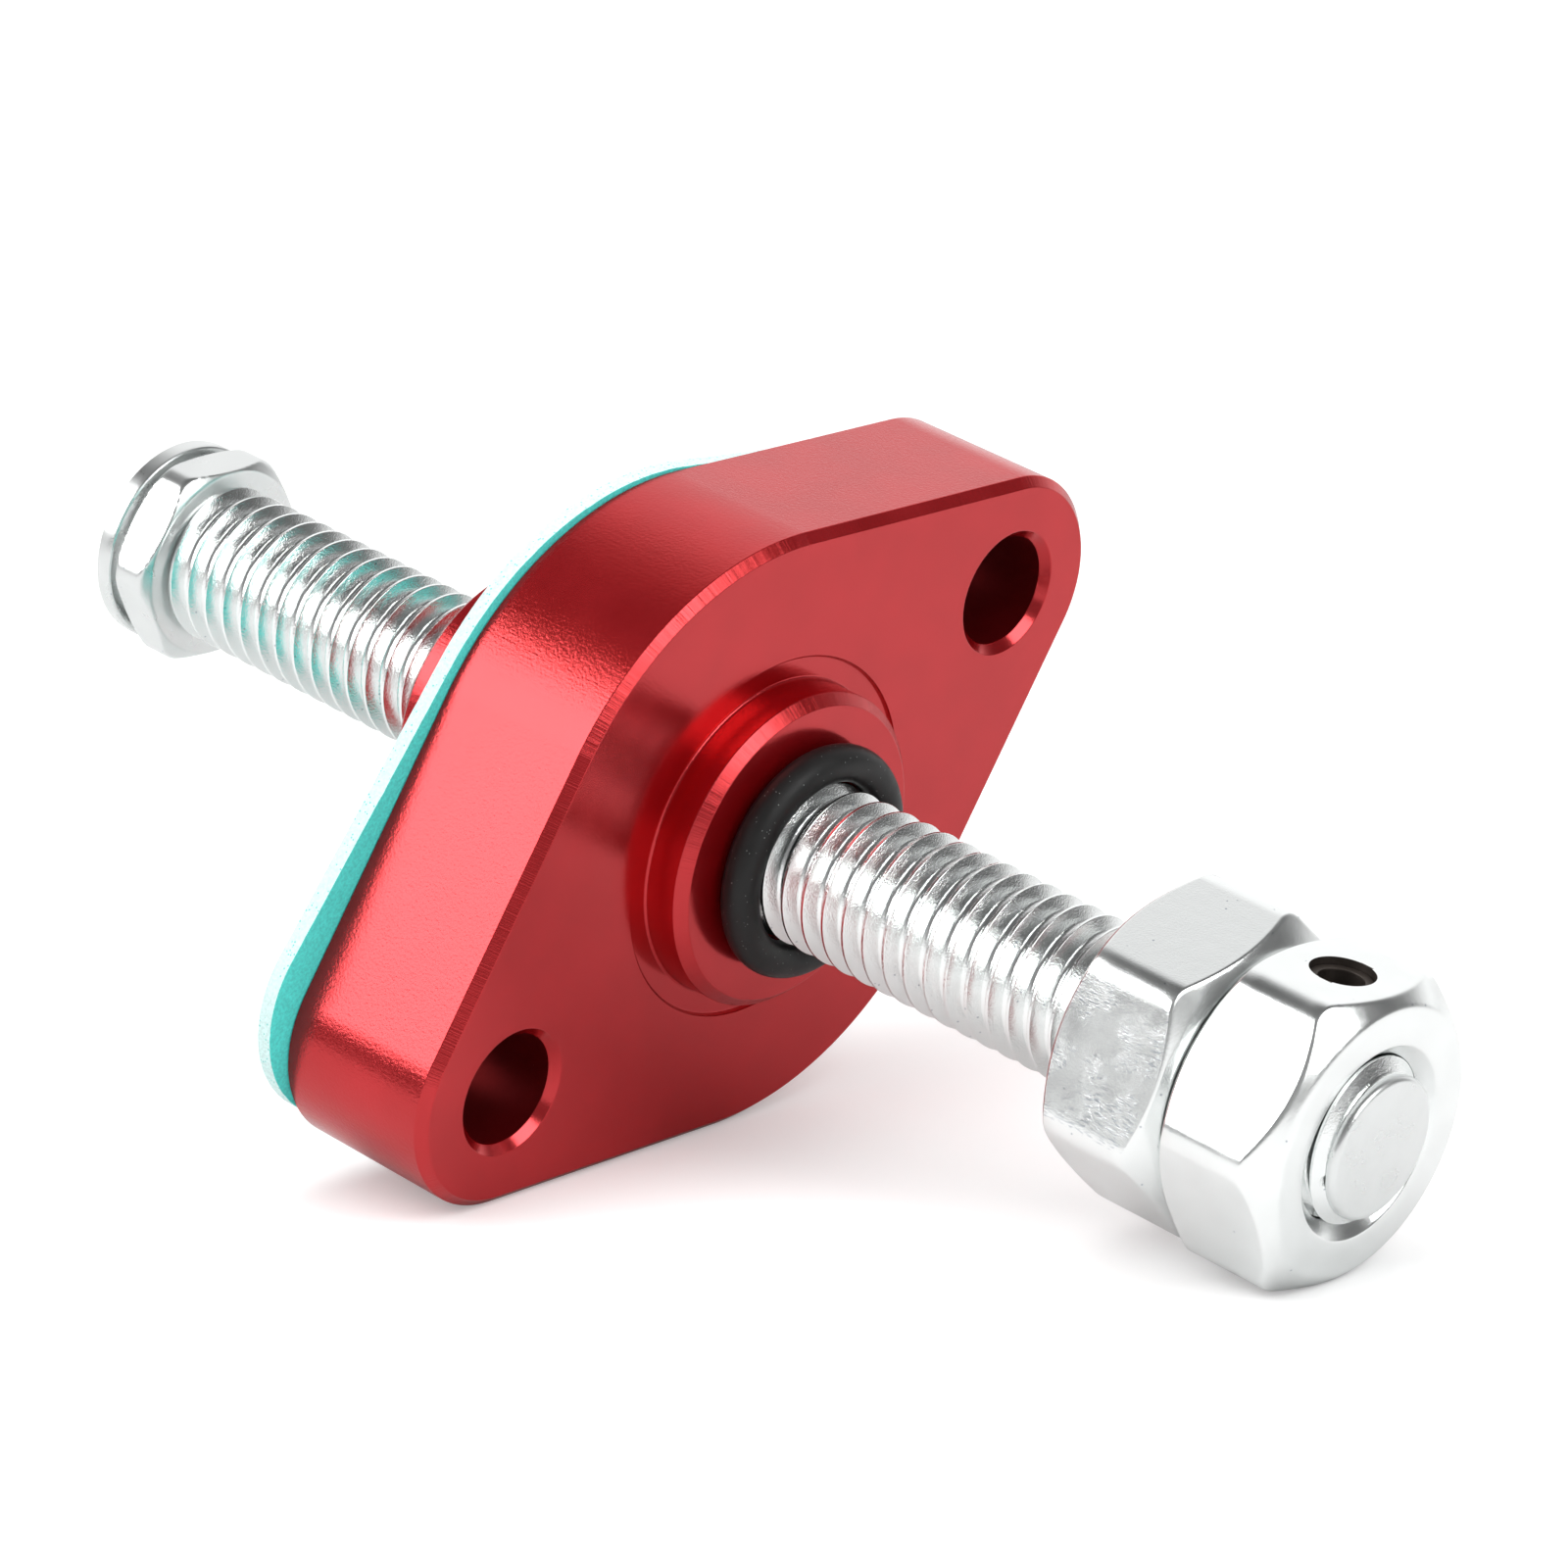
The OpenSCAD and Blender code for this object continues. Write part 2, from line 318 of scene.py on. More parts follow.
def placeGroup(tree, group, **values):
    node = addNode(tree, "ShaderNodeGroup", node_tree=group)
    for name, value in values.items():
        node.inputs[name.replace("_", " ")].default_value = value
    return node


def bumpFrom(tree, height, distance, strength, before=None):
    bump = addNode(tree, "ShaderNodeBump")
    bump.inputs["Distance"].default_value = distance
    bump.inputs["Strength"].default_value = strength
    tree.links.new(height, bump.inputs["Height"])
    if before:
        tree.links.new(before, bump.inputs["Normal"])
    return bump.outputs[0]


def mixColour(tree, factor, first, second):
    node = addNode(tree, "ShaderNodeMix", data_type="RGBA")
    tree.links.new(factor, node.inputs["Factor"])
    for socket, value in ((node.inputs[6], first), (node.inputs[7], second)):
        if isinstance(value, tuple):
            socket.default_value = (*value, 1)
        else:
            tree.links.new(value, socket)
    return node.outputs[2]


def startMaterial(name):
    material = bpy.data.materials.new(name)
    material.use_nodes = True
    return material, material.node_tree, material.node_tree.nodes["Principled BSDF"]


anodising = {
    "colour": (0.51, 0.006, 0.011), "deep": (0.465, 0.004, 0.008), "speck": (0.70, 0.40, 0.40),
    "metal": 0.7, "holeFromMiddle": 17.85,
    "wall": {"rough": (0.17, 0.21), "grain": 0.00002, "perMm": 7.0, "oxideIor": 2.08},
    "turned": {"rough": (0.17, 0.21), "grain": 0.000016, "perMm": 7.0, "oxideIor": 2.08},
    "face": {"rough": (0.13, 0.18), "grain": 0.000003, "perMm": 8.0, "oxideIor": 2.12},
    "bevel": {"rough": (0.16, 0.22), "grain": 0.000004, "perMm": 12.0, "oxideIor": 2.12},
    "hole": {"rough": (0.45, 0.55), "grain": 0.00001, "perMm": 5.0, "oxideIor": 1.3},
}


def anodised(name, finish, marks=(), shade=1.0):
    # marks: the centre, number round and height of the cutter's ridges, or None for the straight sides
    material, tree, shader = startMaterial(name)
    shader.inputs["Metallic"].default_value = anodising["metal"]
    shader.inputs["IOR"].default_value = finish["oxideIor"]
    grain = placeGroup(tree, grainGroup, Per_mm=finish["perMm"], Cloud_per_mm=0.3)
    specks = placeGroup(tree, dustGroup, Per_mm=1.1, Size=0.03, Share=0.14)
    deep, colour = (tuple(c * shade for c in anodising[kind]) for kind in ("deep", "colour"))
    tint = mixColour(tree, mapRange(tree, grain.outputs["Cloud"], 0.35, 0.65, 0, 1), deep, colour)
    tint = mixColour(tree, specks.outputs["Mask"], tint, anodising["speck"])
    rough = mapRange(tree, grain.outputs["Cloud"], 0.3, 0.7, *finish["rough"])
    tree.links.new(tint, shader.inputs["Base Color"])
    tree.links.new(rough, shader.inputs["Roughness"])
    normal = bumpFrom(tree, grain.outputs["Height"], finish["grain"], 1.0)
    for centre, count, height in marks:
        if centre is None:
            ridges = placeGroup(tree, sideRidgeGroup, Per_mm=count)
        else:
            ridges = placeGroup(tree, ridgeGroup, Centre_Z=centre, Round=count)
        normal = bumpFrom(tree, ridges.outputs["Height"], height, 1.0, normal)
    tree.links.new(normal, shader.inputs["Normal"])
    return material


redWall = anodised("anodisedSideWall", anodising["wall"])
redTurned = anodised("anodisedArcWall", anodising["turned"], [(0.0, 150.0, 0.000004)])
redFace = anodised("anodisedFace", anodising["face"])
redBevel = anodised("anodisedArcBevel", anodising["bevel"], [(0.0, 420.0, 0.000014)])
redEnds = anodised("anodisedEndBevel", anodising["bevel"], [(anodising["holeFromMiddle"], 80.0, 0.000014)])
redSides = anodised("anodisedSideBevel", anodising["bevel"], [(None, 12.0, 0.000006)])
redBoss = anodised("anodisedBossBevel", anodising["bevel"], [(0.0, 280.0, 0.000009)])
# Painted shade: the bolt holes' walls take the red at 0.3 of its strength, standing in for the shade deep
# inside them
redHoleShaded = anodised("anodisedHolePaintedShade", anodising["hole"], shade=0.3)

zincFinish = {
    "colour": (0.90, 0.92, 0.915), "shade": (0.86, 0.88, 0.875), "pit": (0.50, 0.54, 0.58),
    "thread": {"rough": (0.11, 0.16), "grain": 0.00002, "lumps": 0.00001, "pits": 0.12},
    "nut": {"rough": (0.22, 0.27), "grain": 0.000006, "lumps": 0.000006, "pits": 0.05},
    "head": {"rough": (0.26, 0.36), "grain": 0.000006, "lumps": 0.00001, "pits": 0.05},
}


def zincPlate(name, finish, scuffs=0.0, shade=1.0):
    material, tree, shader = startMaterial(name)
    shader.inputs["Metallic"].default_value = 1
    grain = placeGroup(tree, grainGroup, Per_mm=10.0, Cloud_per_mm=0.6)
    pits = placeGroup(tree, dustGroup, Per_mm=3.0, Size=0.16, Share=finish["pits"])
    pale, grey = (tuple(c * shade for c in zincFinish[kind]) for kind in ("colour", "shade"))
    tint = mixColour(tree, mapRange(tree, grain.outputs["Cloud"], 0.35, 0.65, 0, 1), grey, pale)
    tint = mixColour(tree, pits.outputs["Mask"], tint, zincFinish["pit"])
    rough = mapRange(tree, grain.outputs["Cloud"], 0.35, 0.65, *finish["rough"])
    normal = bumpFrom(tree, grain.outputs["Height"], finish["grain"], 0.8)
    broad = placeGroup(tree, grainGroup, Per_mm=1.0, Cloud_per_mm=0.5)
    normal = bumpFrom(tree, broad.outputs["Height"], finish["lumps"], 1.0, normal)
    if scuffs:
        scratches = placeGroup(tree, scuffGroup, Per_mm=14.0, Patch_per_mm=0.5)
        weak = math2(tree, "MULTIPLY", scratches.outputs["Mask"], 0.8)
        tint = mixColour(tree, weak, tint, zincFinish["pit"])
        normal = bumpFrom(tree, scratches.outputs["Height"], scuffs, 1.0, normal)
    tree.links.new(tint, shader.inputs["Base Color"])
    tree.links.new(rough, shader.inputs["Roughness"])
    tree.links.new(normal, shader.inputs["Normal"])
    return material


zincThread = zincPlate("zincThread", zincFinish["thread"])
zincNut = zincPlate("zincNut", zincFinish["nut"])
zincScuffed = zincPlate("zincScuffed", zincFinish["nut"], scuffs=0.000008)
# Painted shade: the head takes the zinc at 0.86 of its strength, standing in for the darker reflections on
# the domed cap
zincHeadShaded = zincPlate("zincHeadShaded", zincFinish["head"], shade=0.86)


# Dark steel for the rolled pin: partly its own dark tone, partly painted shade of its place deep in the cross
# hole
def darkSteelAndShade():
    material, tree, shader = startMaterial("darkSteelAndShade")
    shader.inputs["Metallic"].default_value = 0.6
    grain = placeGroup(tree, grainGroup, Per_mm=9.0, Cloud_per_mm=1.2)
    tint = mixColour(tree, grain.outputs["Cloud"], (0.035, 0.028, 0.024), (0.075, 0.060, 0.050))
    tree.links.new(tint, shader.inputs["Base Color"])
    tree.links.new(mapRange(tree, grain.outputs["Cloud"], 0.3, 0.7, 0.40, 0.55), shader.inputs["Roughness"])
    tree.links.new(bumpFrom(tree, grain.outputs["Height"], 0.000008, 0.6), shader.inputs["Normal"])
    return material


pinSteelAndHoleShade = darkSteelAndShade()


def fibreSheet(name, colour, fleck, share):
    material, tree, shader = startMaterial(name)
    shader.inputs["Roughness"].default_value = 0.8
    shader.inputs["Specular IOR Level"].default_value = 0.3
    grain = placeGroup(tree, grainGroup, Per_mm=7.0, Cloud_per_mm=1.5)
    specks = placeGroup(tree, dustGroup, Per_mm=6.5, Size=0.32, Share=share)
    tint = mixColour(tree, mapRange(tree, grain.outputs["Height"], 0.35, 0.65, 0, 1),
                     tuple(c * 0.80 for c in colour), colour)
    tree.links.new(mixColour(tree, specks.outputs["Mask"], tint, fleck), shader.inputs["Base Color"])
    tree.links.new(bumpFrom(tree, grain.outputs["Height"], 0.00005, 0.7), shader.inputs["Normal"])
    return material


fibreFace = fibreSheet("fibreFace", (0.11, 0.94, 0.86), (0.28, 0.94, 0.88), 0.20)
# Painted light: the cut edges take a much paler copy of the teal fibre, standing in for the strong light that
# falls on them; the darker flecks are the fibre's own
fibreEdgeLitPale = fibreSheet("fibreEdgeLitPale", (0.74, 0.97, 0.95), (0.20, 0.68, 0.64), 0.24)


def blackRubber():
    material, tree, shader = startMaterial("blackRubber")
    grain = placeGroup(tree, grainGroup, Per_mm=9.0, Cloud_per_mm=0.8)
    shader.inputs["Specular IOR Level"].default_value = 0.3
    specks = placeGroup(tree, dustGroup, Per_mm=5.0, Size=0.10, Share=0.55)
    tint = mixColour(tree, grain.outputs["Cloud"], (0.006, 0.006, 0.006), (0.013, 0.013, 0.013))
    tint = mixColour(tree, specks.outputs["Mask"], tint, (0.30, 0.32, 0.31))
    tree.links.new(tint, shader.inputs["Base Color"])
    tree.links.new(mapRange(tree, grain.outputs["Cloud"], 0.3, 0.7, 0.40, 0.54), shader.inputs["Roughness"])
    tree.links.new(bumpFrom(tree, grain.outputs["Height"], 0.00001, 0.5), shader.inputs["Normal"])
    return material


rubber = blackRubber()
print("materials made")


# Housing: a diamond flange with a boss in front and a spigot behind

flange = {
    "holeSpacing": 35.7, "endR": 5.8, "middleR": 15.24, "thick": 8.7, "bevel": 0.45,
    "holeR": 2.75, "holeBevel": 0.42,
    "bossR": 7.85, "bossTop": 10.75, "bossBevel": 0.5, "bossFoot": 0.16, "bossRoot": 4, "footSunk": 0.05,
    "reliefR": 9.05, "reliefDepth": 0.2, "reliefBevel": 0.12,
    "spigotR": 7.4, "spigotEnd": -8.65, "spigotBevel": 0.5, "spigotRoot": 3, "boreR": 4.0, "boreBevel": 0.45,
    "edgeRound": 0.035, "over": 1,
}


def sideAngle():
    # Angle of the straight sides' normals, counted from the line through both holes
    return math.acos((flange["middleR"] - flange["endR"]) / (flange["holeSpacing"] / 2))


def diamondOutline(name, x, lip):
    # Three circles cut back to their outer arcs, joined by the straight sides and filled
    half = flange["holeSpacing"] / 2
    rings = []
    for centre, radius, count in ((0, flange["middleR"] + lip, 360), (half, flange["endR"] + lip, 180),
                                  (-half, flange["endR"] + lip, 180)):
        startFresh()
        bpy.ops.mesh.primitive_circle_add(vertices=count, radius=radius, fill_type="NOTHING",
                                          location=(x, 0, centre), rotation=(0, math.pi / 2, 0))
        ring = bpy.context.object
        bpy.ops.object.transform_apply(location=True, rotation=True, scale=True)
        bpy.ops.object.mode_set(mode="EDIT")
        reach = radius * math.cos(sideAngle()) + 0.001
        if centre == 0:
            pick(ring, lambda v: abs(v.co.z) > reach)
        else:
            sign = math.copysign(1, centre)
            pick(ring, lambda v: (v.co.z - centre) * sign < reach - 0.002)
        bpy.ops.mesh.delete(type="VERT")
        bpy.ops.object.mode_set(mode="OBJECT")
        rings.append(ring)
    startFresh()
    for ring in rings:
        ring.select_set(True)
    bpy.context.view_layer.objects.active = rings[0]
    bpy.ops.object.join()
    plate = bpy.context.object
    plate.name = name
    bpy.ops.object.mode_set(mode="EDIT")
    for ySign in (-1, 1):
        for zSign in (-1, 1):
            shape = bmesh.from_edit_mesh(plate.data)
            side = [v for v in shape.verts if v.co.y * ySign > 0.5 and v.co.z * zSign > 0]
            onMiddle = [v for v in side if abs(math.hypot(v.co.y, v.co.z) - flange["middleR"] - lip) < 0.01]
            middle = max(onMiddle, key=lambda v: v.co.z * zSign)
            end = min((v for v in side if v.co.z * zSign > half), key=lambda v: v.co.z * zSign)
            places = [middle.co.copy(), end.co.copy()]
            pick(plate, lambda v: min((v.co - p).length for p in places) < 0.001)
            bpy.ops.mesh.edge_face_add()
    bpy.ops.mesh.select_all(action="SELECT")
    bpy.ops.mesh.edge_face_add()
    bpy.ops.object.mode_set(mode="OBJECT")
    return plate


def raisePlate(plate, height, bevel=0):
    takeUp(plate)
    bpy.ops.object.mode_set(mode="EDIT")
    bpy.ops.mesh.select_all(action="SELECT")
    bpy.ops.mesh.extrude_region_move(TRANSFORM_OT_translate={"value": (height - bevel, 0, 0)})
    bpy.ops.mesh.select_all(action="SELECT")
    bpy.ops.mesh.normals_make_consistent(inside=False)
    if bevel:
        top = max(v.co.x for v in bmesh.from_edit_mesh(plate.data).verts)
        pick(plate, lambda f: f.normal.x > 0.9 and f.calc_center_median().x > top - 0.01, "FACE")
        bpy.ops.mesh.inset(thickness=bevel, depth=bevel)
    bpy.ops.object.mode_set(mode="OBJECT")


def shiftAlongZ(piece, z):
    piece.data.transform(Matrix.Translation((0, 0, z)))


def makeHousing():
    f = flange
    body = diamondOutline("flangeHousing", 0, 0)
    raisePlate(body, f["thick"], f["bevel"])
    over, top, foot = f["over"], f["bossTop"], f["bossFoot"]
    footX, footR = f["thick"] - f["reliefDepth"], f["bossR"] + foot
    relief = turnRound("reliefCutter", [
        (footX, 0), (footX, f["reliefR"] - f["reliefBevel"]), (footX + f["reliefBevel"], f["reliefR"]),
        (f["thick"] + over, f["reliefR"]), (f["thick"] + over, 0)], 192)
    combine(body, relief, "DIFFERENCE")
    corner = [math.radians(15 * k) for k in range(7)]
    fillet = [(footX + foot - foot * math.cos(a), footR - foot * math.sin(a)) for a in corner]
    boss = turnRound("boss", [
        (f["bossRoot"], 0), (f["bossRoot"], footR), (footX - f["footSunk"], footR)] + fillet + [
        (top - f["bossBevel"], f["bossR"]), (top, f["bossR"] - f["bossBevel"]), (top, 0)], 192)
    combine(body, boss, "UNION")
    spigot = turnRound("spigot", [
        (f["spigotRoot"], 0), (f["spigotRoot"], f["spigotR"]),
        (f["spigotEnd"] + f["spigotBevel"], f["spigotR"]),
        (f["spigotEnd"], f["spigotR"] - f["spigotBevel"]), (f["spigotEnd"], 0)], 192)
    combine(body, spigot, "UNION")
    boreMouth = f["boreR"] + f["boreBevel"] + over
    bore = turnRound("boreCutter", [
        (f["spigotEnd"] - over, 0), (f["spigotEnd"] - over, boreMouth),
        (f["spigotEnd"] + f["boreBevel"], f["boreR"]), (top - f["boreBevel"], f["boreR"]),
        (top + over, boreMouth), (top + over, 0)], 96)
    combine(body, bore, "DIFFERENCE")
    holeMouth = f["holeR"] + f["holeBevel"] + over
    for side in (-1, 1):
        hole = turnRound("holeCutter", [
            (-over, 0), (-over, f["holeR"]), (f["thick"] - f["holeBevel"], f["holeR"]),
            (f["thick"] + over, holeMouth), (f["thick"] + over, 0)], 96)
        shiftAlongZ(hole, side * f["holeSpacing"] / 2)
        combine(body, hole, "DIFFERENCE")
    tidyShell(body)
    softenEdges(body, f["edgeRound"], 2)
    smoothPiece(body, 38)
    half = f["holeSpacing"] / 2
    arcReach = f["middleR"] * math.cos(sideAngle())
    endReach = half + (f["endR"] - f["bevel"]) * math.cos(sideAngle())
    # Slots in the order of the materials given below; a face that nothing here names stays side wall, slot 0
    front, arcBevel, endBevel, sideBevel, bossBevel, holeWall, arcWall = range(1, 8)
    for face in body.data.polygons:
        c, n = face.center, face.normal
        radius = math.hypot(c.y, c.z)
        holeRadius = math.hypot(c.y, abs(c.z) - half)
        slanted = 0.3 < n.x < 0.95
        if slanted and c.x < f["thick"] and holeRadius > 4 and radius > 10:
            if abs(c.z) < arcReach:
                face.material_index = arcBevel
            elif abs(c.z) > endReach:
                face.material_index = endBevel
            else:
                face.material_index = sideBevel
        elif slanted and c.x > f["thick"] + 1 and radius > 7:
            face.material_index = bossBevel
        # Painted shade: the walls of the bolt holes take the darkened red
        elif holeRadius < f["holeR"] + 0.05 and abs(n.x) < 0.5:
            face.material_index = holeWall
        elif n.x > 0.95 or (c.x > f["thick"] - 0.3 and 8.1 < radius < 9.2) or holeRadius < 4:
            face.material_index = front
        elif radius < 9.2 or abs(abs(n.z) - math.cos(sideAngle())) > 0.004:
            face.material_index = arcWall
    finishPiece(body, "housing",
                [redWall, redFace, redBevel, redEnds, redSides, redBoss, redHoleShaded, redTurned], ["housing"])
    print("housing done", len(body.data.polygons))


makeHousing()

# Gasket: a thin fibre sheet that has slipped a little round and aside

gasketSheet = {
    "thick": 0.8, "gap": 0.05, "lip": 0.095, "innerR": 8.8, "holeR": 3.05, "edgeRound": 0.06,
    "turn": -5, "slip": (0, -0.3, -0.4), "ragged": 0.05,
}


def makeGasket():
    g = gasketSheet
    sheet = diamondOutline("fibreGasket", -g["gap"] - g["thick"], g["lip"])
    # The die left the cut edge a little uneven
    bpy.ops.object.mode_set(mode="EDIT")
    pick(sheet, lambda e: e.calc_length() > 3, "EDGE")
    bpy.ops.mesh.subdivide(number_cuts=40)
    bpy.ops.object.mode_set(mode="OBJECT")
    for vertex in sheet.data.vertices:
        inwards = 1 - g["ragged"] * noise.noise(vertex.co * 1.3 + Vector((7, 3, 1))) ** 2 / 12
        vertex.co.y *= inwards
        vertex.co.z *= inwards
    raisePlate(sheet, g["thick"])
    half = flange["holeSpacing"] / 2
    for radius, places in ((g["innerR"], (0,)), (g["holeR"], (-half, half))):
        for z in places:
            punch = turnRound("punch", [(-3, 0), (-3, radius), (2, radius), (2, 0)], 128 if z == 0 else 72)
            shiftAlongZ(punch, z)
            combine(sheet, punch, "DIFFERENCE")
    tidyShell(sheet)
    softenEdges(sheet, g["edgeRound"], 2)
    moveRound(sheet, g["turn"])
    sheet.data.transform(Matrix.Translation(g["slip"]))
    smoothPiece(sheet, 40)
    # Faces across the sheet take the teal, and the cut edges take the paler copy with painted light
    for face in sheet.data.polygons:
        face.material_index = 0 if abs(face.normal.x) > 0.6 else 1
    finishPiece(sheet, "gasket", [fibreFace, fibreEdgeLitPale], ["gasket"])
    print("gasket done", len(sheet.data.polygons))


makeGasket()

# Rubber ring round the bolt, against the boss

ringSize = {"thick": 1.8, "middleR": 4.9, "x": 11.7, "seatX": 10.86, "seatR": 4.05, "blend": 0.12}


def makeRing():
    startFresh()
    bpy.ops.mesh.primitive_torus_add(major_radius=ringSize["middleR"], minor_radius=ringSize["thick"] / 2,
                                     major_segments=160, minor_segments=40,
                                     location=(ringSize["x"], 0, 0), rotation=(0, math.pi / 2, 0))
    ring = bpy.context.object
    ring.name = "rubberRing"
    bpy.ops.object.transform_apply(location=True, rotation=True, scale=True)
    # The rubber lies a little flat against the boss and on the thread
    for vertex in ring.data.vertices:
        radius = math.hypot(vertex.co.y, vertex.co.z)
        vertex.co.x = -softLeast(-vertex.co.x, -ringSize["seatX"], ringSize["blend"])
        tighter = -softLeast(-radius, -ringSize["seatR"], ringSize["blend"]) / radius
        vertex.co.y *= tighter
        vertex.co.z *= tighter
    smoothPiece(ring, 60, False)
    finishPiece(ring, "ring", [rubber], ["o_ring"])


makeRing()

# Bolt: one threaded rod with a small hexagon and a domed cap at its inner end

bolt = {
    "pitch": 1.25, "crestR": 3.95, "rootR": 3.26, "crestX": 17.02, "crestAngle": 119.25,
    "crestHalf": 0.09, "edgeFall": 0.035, "flankEnd": 0.56, "flankSlope": 60,
    "outerEnd": 45.5, "tipR": 3.42, "tipRound": 0.32, "tipLand": 0.45, "tipSunk": 1.6, "runOutSlope": 1.6,
    "shoulder": -28.2,
    "hexFlats": 9.8, "hexCornerR": 5.45, "hexLong": 2.4, "neckR": 4.6, "neckLong": 0.35,
    "capR": 5.15, "capRim": 0.9, "domeRise": 1.7,
}


def threadTooth():
    # One tooth's outline from crest centre to crest centre: narrow crest, straight flanks, rounded root
    half, slope = bolt["pitch"] / 2, math.radians(bolt["flankSlope"])
    edge, edgeFall, flankEnd = bolt["crestHalf"], bolt["edgeFall"], bolt["flankEnd"]
    side = [(0.0, 0.0), (edge - edgeFall, 0.0), (edge - 0.015, 0.012), (edge, edgeFall)]
    rootStart = edge + (flankEnd - edgeFall) / math.tan(slope)
    rootRound = (half - rootStart) / math.sin(slope)
    for step in range(7):
        turn = slope * (1 - step / 6)
        depth = flankEnd + rootRound * (math.cos(turn) - math.cos(slope))
        side.append((half - rootRound * math.sin(turn), depth))
    back = [(bolt["pitch"] - x, fall) for x, fall in reversed(side[:-1])]
    return [(x, bolt["crestR"] - fall) for x, fall in side + back]


def makeThread(start, end):
    b = bolt
    turns = math.ceil((end - start) / b["pitch"]) + 4
    # Where a crest lies at the angle of the profile, which is drawn towards Z
    phase = (b["crestX"] - b["pitch"] * b["crestAngle"] / 360) % b["pitch"]
    first = start - 2 * b["pitch"]
    first -= (first - phase) % b["pitch"]
    thread = drawProfile("boltThread", [(first + x, r) for x, r in threadTooth()])
    useModifier(thread, "SCREW", axis="X", angle=math.tau, screw_offset=b["pitch"], iterations=turns,
                steps=72, render_steps=72, use_merge_vertices=True, merge_threshold=0.0005)
    takeUp(thread)
    bpy.ops.object.mode_set(mode="EDIT")
    bpy.ops.mesh.select_all(action="SELECT")
    bpy.ops.mesh.remove_doubles(threshold=0.0005)
    for place, outer in ((end, 1), (start, -1)):
        bpy.ops.mesh.select_all(action="SELECT")
        bpy.ops.mesh.bisect(plane_co=(place, 0, 0), plane_no=(outer, 0, 0), clear_outer=True, use_fill=True)
    bpy.ops.mesh.select_all(action="SELECT")
    bpy.ops.mesh.normals_make_consistent(inside=False)
    bpy.ops.object.mode_set(mode="OBJECT")
    return thread


def roundHexagon(piece, flats, corner, soften):
    # Draws a turned blank in to six flats, with soft corners and soft edges at the bevels
    for vertex in piece.data.vertices:
        radius = math.hypot(vertex.co.y, vertex.co.z)
        if radius < flats * 0.36:
            continue
        near = math.degrees(math.atan2(-vertex.co.y, vertex.co.z)) % 60
        flat = softLeast(flats / 2 / math.cos(math.radians(near)),
                         flats / 2 / math.cos(math.radians(60 - near)), corner)
        new = softLeast(radius, flat, soften)
        vertex.co.y *= new / radius
        vertex.co.z *= new / radius


def makeBolt():
    b = bolt
    tipBack = b["outerEnd"] - b["tipLand"]
    thread = makeThread(b["shoulder"] - 0.3, tipBack)
    # The thread runs out in a bevel at the tip
    for vertex in thread.data.vertices:
        radius = math.hypot(vertex.co.y, vertex.co.z)
        allowed = b["tipR"] - 0.02 + max(0, tipBack - vertex.co.x) * b["runOutSlope"]
        if vertex.co.x > tipBack - 1 and radius > allowed:
            vertex.co.y *= allowed / radius
            vertex.co.z *= allowed / radius
    rim = b["tipRound"]
    corner = [math.radians(15 * k) for k in range(7)]
    tipRim = [(b["outerEnd"] - rim + rim * math.sin(a), b["tipR"] - rim + rim * math.cos(a)) for a in corner]
    tipRoot = tipBack - b["tipSunk"]
    tip = turnRound("boltTip", [
        (tipRoot, 0), (tipRoot, b["rootR"] - 0.1), (tipBack - 0.05, b["rootR"] - 0.02),
        (tipBack + 0.02, b["tipR"])] + tipRim + [(b["outerEnd"], 0)], 96)
    hexBack = b["shoulder"] - b["hexLong"]
    rounds = [(4.70, 0.0), (4.80, 0.01), (4.88, 0.04), (4.96, 0.09), (5.06, 0.15), (5.18, 0.22), (5.30, 0.30),
              (5.40, 0.40), (b["hexCornerR"], 0.55), (b["hexCornerR"], 0.75)]
    rings = [(b["shoulder"], 0), (b["shoulder"], 3.0), (b["shoulder"], 4.5)]
    rings += [(b["shoulder"] - drop, r) for r, drop in rounds]
    rings += [(hexBack + drop, r) for r, drop in reversed(rounds)]
    rings += [(hexBack, 4.5), (hexBack, 3.0), (hexBack, 0)]
    hexagon = turnRound("headHexagon", rings, 240)
    roundHexagon(hexagon, b["hexFlats"], 0.3, 0.12)
    capBack = hexBack - b["neckLong"]
    rimBack = capBack - b["capRim"]
    domeR = (b["capR"] ** 2 + b["domeRise"] ** 2) / (2 * b["domeRise"])
    crownRadii = [b["capR"] * k / 24 for k in range(24, -1, -1)]
    crown = [(rimBack - b["domeRise"] + domeR - math.sqrt(domeR ** 2 - r ** 2), r) for r in crownRadii]
    rimX, rimR = crown[1]
    cap = [(hexBack + 0.3, 0), (hexBack + 0.3, b["neckR"]), (capBack, b["neckR"]),
           (capBack, b["capR"] - 0.12), (capBack - 0.05, b["capR"] - 0.04), (capBack - 0.14, b["capR"]),
           (rimBack + 0.12, b["capR"]), (rimBack + 0.02, b["capR"] - 0.015)]
    cap += [(rimX, rimR - 0.05)] + crown[2:]
    button = turnRound("headCap", cap, 144)
    for part in (tip, hexagon, button):
        smoothPiece(part, 30)
    smoothPiece(thread, 32)
    for part, index in ((thread, 0), (tip, 1), (hexagon, 1), (button, 1)):
        part.data.materials.append(zincThread)
        part.data.materials.append(zincHeadShaded)
        for face in part.data.polygons:
            face.material_index = index
    startFresh()
    for part in (thread, tip, hexagon, button):
        part.select_set(True)
    bpy.context.view_layer.objects.active = thread
    bpy.ops.object.join()
    thread.name = "threadedBolt"
    finishPiece(thread, "bolt", [], ["tensioner_bolt"])
    print("bolt done", len(thread.data.polygons))


makeBolt()

# Nuts: a lock nut, and an end nut with a cross hole

